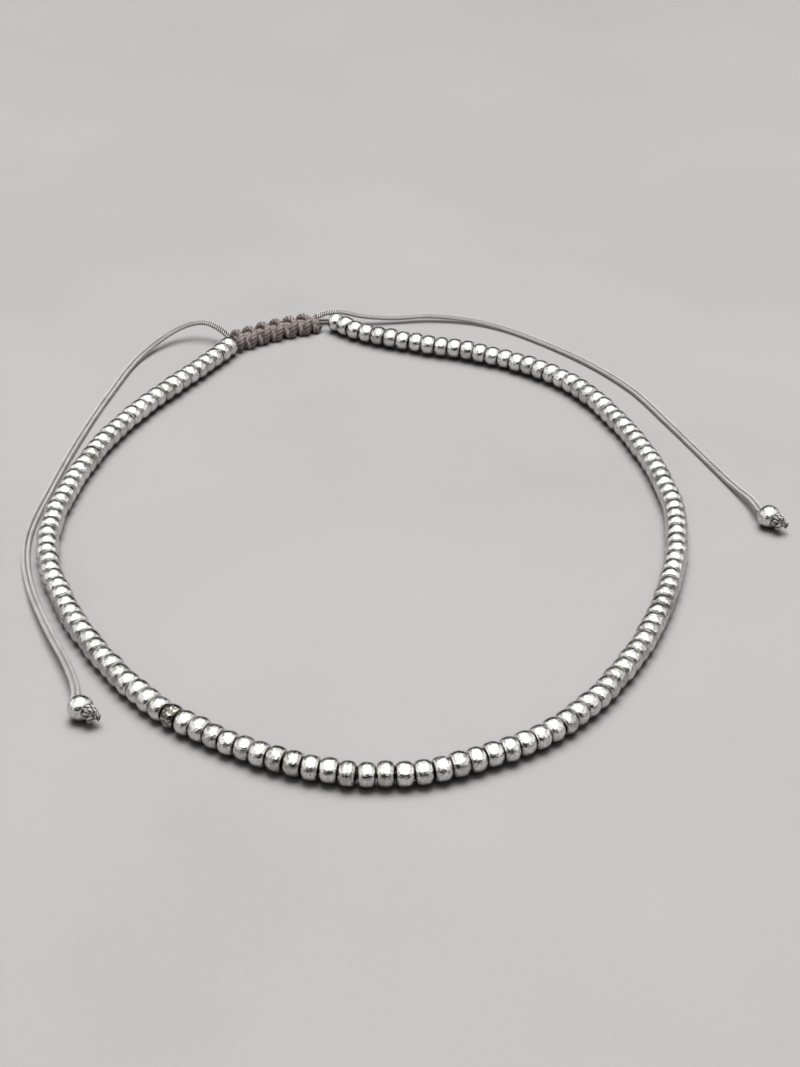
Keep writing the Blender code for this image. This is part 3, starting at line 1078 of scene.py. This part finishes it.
@dataclass
class Studio:
    """The camera, the pale tabletop, soft light from above, and the cards that the beads mirror."""

    camera_place: Place = (4.127 * MM, -192.423 * MM, 120.748 * MM)
    camera_tilt: float = math.radians(57.41)
    focal_pixels: float = 1950.0
    picture_height: int = 1067
    sensor: float = 36.0
    table_reach: float = 6.0
    wall_reach: float = 5.5
    wall_top: float = 3.0
    wall_sides: int = 48
    wall_colour: Colour = (0.1, 0.0985, 0.0975, 1.0)
    wall_glow: float = 3.4
    card_height: float = 0.65
    card_side: float = 0.75
    card_front: float = -0.76
    card_back: float = 0.3
    card_colour: Colour = (1.0, 0.99, 0.975, 1.0)
    black: Colour = (0.0, 0.0, 0.0, 1.0)
    daylight_place: Place = (0.03, 0.37, 1.0)
    daylight_spread: float = math.radians(44)
    daylight_strength: float = 2.6
    overhead_place: Place = (0.0, 0.03, 0.5)
    overhead_side: float = 0.3
    overhead_watts: float = 0.95
    room_greys: tuple[tuple[float, float], ...] = ((0.0, 0.03), (0.5, 0.09), (0.8, 0.28), (1.0, 0.45))
    room_behind: Colour = (0.02, 0.02, 0.021, 1.0)
    room_before: Colour = (0.06, 0.06, 0.06, 1.0)

    def add_camera(self) -> None:
        """Adds the camera at the photograph's place and angle."""
        lens = bpy.data.cameras.new("camera")
        lens.sensor_fit = "AUTO"
        lens.sensor_width = self.sensor
        lens.lens = self.focal_pixels * self.sensor / self.picture_height
        lens.clip_start = 0.01
        lens.clip_end = 30.0
        camera = bpy.data.objects.new("camera", lens)
        camera.location = self.camera_place
        camera.rotation_euler = (self.camera_tilt, 0.0, 0.0)
        bpy.context.scene.collection.objects.link(camera)
        bpy.context.scene.camera = camera

    @staticmethod
    def add_sheet(
        name: str, corners: Sequence[Place], finish: Finish, unseen_by: Sequence[str] = (),
        faces: Sequence[Sequence[int]] = ((0, 1, 2, 3),),
    ) -> None:
        """Adds a stage piece made of flat faces.

        Args:
            name: The piece's name.
            corners: Its corners.
            finish: Its material.
            unseen_by: The kinds of ray that pass through it.
            faces: The corners of each face.
        """
        mesh = bpy.data.meshes.new(name)
        mesh.from_pydata(corners, [], faces)
        mesh.materials.append(finish.material())
        sheet = bpy.data.objects.new(name, mesh)
        for ray in unseen_by:
            setattr(sheet, f"visible_{ray}", False)
        bpy.context.scene.collection.objects.link(sheet)

    def add_tabletop(self) -> None:
        """Adds the tabletop."""
        reach = self.table_reach
        corners = rectangle((-reach, -reach, 0.0), (reach, reach, 0.0))
        self.add_sheet("tabletop", corners, Tabletop("tabletop_finish"))

    def add_backdrop(self) -> None:
        """Adds a pale round wall far behind, seen by the camera alone."""
        count = self.wall_sides
        angles = [math.tau * number / count for number in range(count)]
        ring = [(self.wall_reach * math.cos(angle), self.wall_reach * math.sin(angle)) for angle in angles]
        corners = [(x, y, z) for z in (0.0, self.wall_top) for x, y in ring]
        faces = [(n, (n + 1) % count, count + (n + 1) % count, count + n) for n in range(count)]
        finish = Panel("backdrop_finish", self.wall_colour, self.wall_glow)
        self.add_sheet("backdrop", corners, finish, ("glossy", "diffuse", "shadow"), faces)

    def add_cards(self) -> None:
        """Adds the room that the shiny pieces mirror: bright above, pale at the sides, dark in front."""
        high, front, back = self.card_height, self.card_front, self.card_back
        cards = {
            "overhead_card": (rectangle((-0.4, back, high), (0.4, front, high)), 2.6),
            "high_back_card": (rectangle((-0.7, 0.8, 0.66), (0.7, 0.8, 1.7)), 1.6),
            "dark_card": (rectangle((-0.18, -0.62, 0.0), (0.2, -0.62, 0.38)), 0.0),
        }
        for side, x in (("left", -self.card_side), ("right", self.card_side)):
            outer, inner = x * 1.02, x * 0.52
            cards[f"{side}_strip"] = (rectangle((x, -0.6, 0.22), (x, 0.5, 0.5)), 1.1)
            cards[f"{side}_wall"] = (rectangle((outer, -0.7, 0.1), (outer, 0.7, 0.8)), 0.6)
            low, top = 0.75, high * 1.01
            shoulder = [(inner, front, top), (inner, back, top), (outer, back, low), (outer, front, low)]
            cards[f"{side}_shoulder"] = (shoulder, 1.1)
        for name, (corners, glow) in cards.items():
            finish = Panel(f"{name}_finish", self.card_colour if glow else self.black, glow)
            self.add_sheet(name, corners, finish, ("camera", "shadow", "diffuse"))

    @staticmethod
    def add_lamp(lamp: Light, place: Place, energy: float) -> None:
        """Adds a lamp that faces the anklet from a place, and that the beads don't mirror."""
        lamp.energy = energy
        light = bpy.data.objects.new(lamp.name, lamp)
        light.location = place
        light.rotation_euler = (-Vector(place)).to_track_quat("-Z", "Y").to_euler()
        light.visible_glossy = False
        bpy.context.scene.collection.objects.link(light)

    def add_lights(self) -> None:
        """Adds soft daylight over the whole tabletop, and a soft square light near above the anklet."""
        daylight = bpy.data.lights.new("back_daylight", "SUN")
        daylight.angle = self.daylight_spread
        self.add_lamp(daylight, self.daylight_place, self.daylight_strength)
        overhead = bpy.data.lights.new("overhead_light", "AREA")
        overhead.shape = "RECTANGLE"
        overhead.size = overhead.size_y = self.overhead_side
        self.add_lamp(overhead, self.overhead_place, self.overhead_watts)

    def add_world(self) -> None:
        """Adds a dim room that is darkest low down behind."""
        world = bpy.data.worlds.new("room")
        world.use_nodes = True
        graph = ShaderGraph(world.node_tree, "Background")
        way = graph.node("ShaderNodeTexCoord")["Generated"]
        parts = graph.node("ShaderNodeSeparateXYZ", {}, {"Vector": way})
        stops = [(place, (grey, grey, grey, 1.0)) for place, grey in self.room_greys]
        shade = graph.node("ShaderNodeValToRGB", {"stops": stops}, {"Fac": parts["Z"]})["Color"]
        y, z = parts["Y"], parts["Z"]
        behind = graph.stretch(y, 0.0, 0.6) * graph.stretch(z, 0.35, 0.65, 1.0, 0.0)
        before = graph.stretch(y, -0.7, -0.2, 1.0, 0.0) * graph.stretch(z, 0.35, 0.6, 1.0, 0.0)
        room = graph.blend(before, graph.blend(behind, shade, self.room_behind), self.room_before)
        graph.drive("Color", room)
        bpy.context.scene.world = world

    def build(self) -> None:
        """Sets the stage, its lights and the view's colours."""
        self.add_tabletop()
        self.add_backdrop()
        self.add_cards()
        self.add_lights()
        self.add_world()
        scene = bpy.context.scene
        scene.view_settings.view_transform = "Standard"
        scene.view_settings.look = "None"
        scene.cycles.caustics_reflective = False


def main() -> None:
    """Builds the anklet and its stage, and reports each piece."""
    logging.basicConfig(level=logging.INFO, format="%(name)s: %(message)s")
    studio = Studio()
    studio.add_camera()
    tails = [
        Tail("left", LEFT_TAIL_ROUTE_MM, (-27.7, -38.05, 1.35), (0.72, -0.69, 0.03), Hand.RIGHT),
        Tail("right", RIGHT_TAIL_ROUTE_MM, (46.7, -2.15, 1.35), (0.6, -0.8, 0.03), Hand.LEFT),
    ]
    for tail in tails:
        tail.build()
    BeadString().build()
    BaseCord().build()
    SlidingKnot().build()
    studio.build()


if __name__ == "__main__":
    main()
